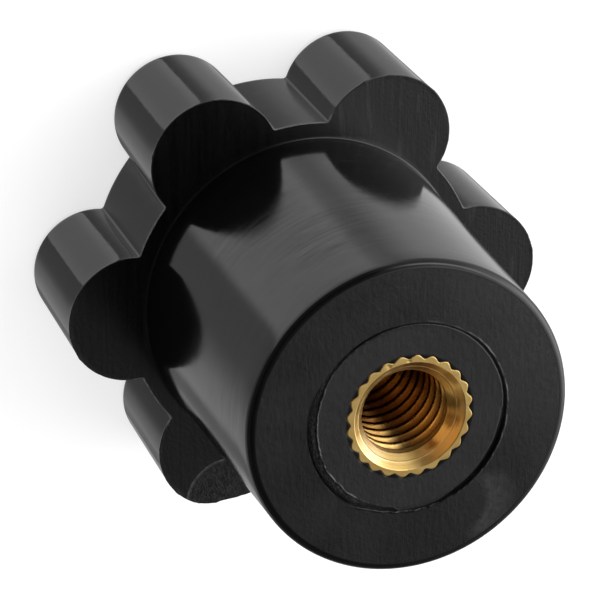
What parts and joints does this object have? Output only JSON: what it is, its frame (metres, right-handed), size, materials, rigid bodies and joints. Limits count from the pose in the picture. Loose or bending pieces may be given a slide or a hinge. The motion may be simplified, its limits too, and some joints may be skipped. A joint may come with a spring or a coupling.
{
  "type": "star grip hand nut",
  "caption": "Lobed star-grip hand nut moulded in black plastic, with a long round hub and a knurled brass threaded insert, turned by hand on a stud.",
  "frame": {"origin": "centre of the crown, the flat face that the knob stands on, on the thread axis", "axes": "+Z along the thread axis out of the hub's mouth, +X through the middle of a lobe"},
  "size_m": [0.0384, 0.0346, 0.0358],
  "materials": {
    "black_moulding": "black moulded phenolic, semi-gloss drafted walls, satin faced ends with a fine sanded grain",
    "insert_brass": "machined yellow brass, faced rim, turned countersink and cut thread"
  },
  "bodies": {
    "root": {"knob_body": "black_moulding", "threaded_insert": "insert_brass"}
  },
  "joints": []
}
